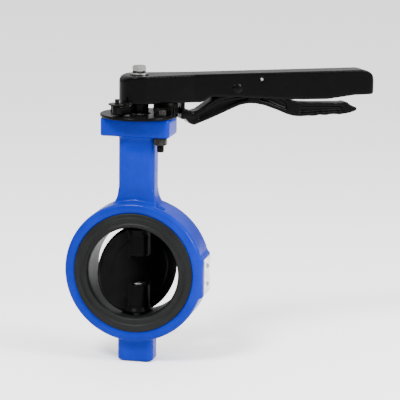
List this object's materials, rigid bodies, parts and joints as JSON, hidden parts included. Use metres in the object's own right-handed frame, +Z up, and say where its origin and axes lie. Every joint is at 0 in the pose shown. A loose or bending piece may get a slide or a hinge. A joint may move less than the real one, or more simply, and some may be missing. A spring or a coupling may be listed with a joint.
{
  "type": "butterfly valve",
  "caption": "Wafer butterfly valve with a rubber-lined round body, a disc on a stem, and a hand lever with a squeeze trigger that locks into a notched plate.",
  "frame": {"origin": "the point where the pipe axis meets the stem axis, at the centre of the body ring", "axes": "+Z up the stem towards the lever, Y along the pipe, with -Y out of the front face, and +X to the right seen from the front"},
  "size_m": [0.3145, 0.1858, 0.3249],
  "materials": {
    "blue_paint": "gloss blue enamel over a cast iron surface",
    "seat_rubber": "matt black moulded rubber",
    "disc_coating": "semi-gloss black coating over a cast disc",
    "black_paint": "gloss black paint",
    "stainless": "turned stainless steel",
    "zinc_steel": "bright zinc plating",
    "dark_steel": "blackened steel",
    "spring_steel": "spring steel",
    "aluminium_tag": "bright blank tag",
    "bronze": "sintered bronze",
    "phenolic": "hard phenolic",
    "white_plastic": "low friction plastic"
  },
  "bodies": {
    "valve_body": {"body": "blue_paint", "seat": "seat_rubber", "seat_backing_ring": "phenolic", "upper_bush": "bronze", "neck_bush": "bronze", "stub_bush": "bronze", "stub_thrust_pad": "white_plastic", "stem_o_rings": "seat_rubber", "gland_washer": "bronze", "notch_plate": "black_paint", "plate_bolts": "dark_steel", "plate_bolt_washers": "dark_steel", "plate_nut": "dark_steel", "plate_nut_washer": "dark_steel", "nameplate": "aluminium_tag", "nameplate_rivets": "zinc_steel"},
    "lever_and_disc": {"disc": "disc_coating", "stem": "stainless", "stub_shaft": "stainless", "stem_circlip": "spring_steel", "lever": "black_paint", "lever_washer": "zinc_steel", "lever_spring_washer": "spring_steel", "lever_bolt": "zinc_steel", "pivot_pin": "black_paint", "pivot_pin_clip": "spring_steel", "trigger_stop_pin": "zinc_steel", "trigger_spring": "spring_steel", "stop_screw": "dark_steel", "stop_washer": "dark_steel"},
    "trigger": {"trigger": "black_paint"}
  },
  "joints": [
    {"name": "lever_turn", "type": "hinge", "parent": "valve_body", "child": "lever_and_disc", "pos_m": [0, 0, 0], "axis": [0, 0, 1], "range_deg": [-45, 45]},
    {"name": "trigger_squeeze", "type": "hinge", "parent": "lever_and_disc", "child": "trigger", "pos_m": [0.09266, 0.0535, 0.1976], "axis": [0.5, -0.866, 0], "range_deg": [-5.5, 8], "stiffness_Nm_per_rad": 8, "springref_deg": 2.58, "deforming": ["trigger_spring"]}
  ]
}
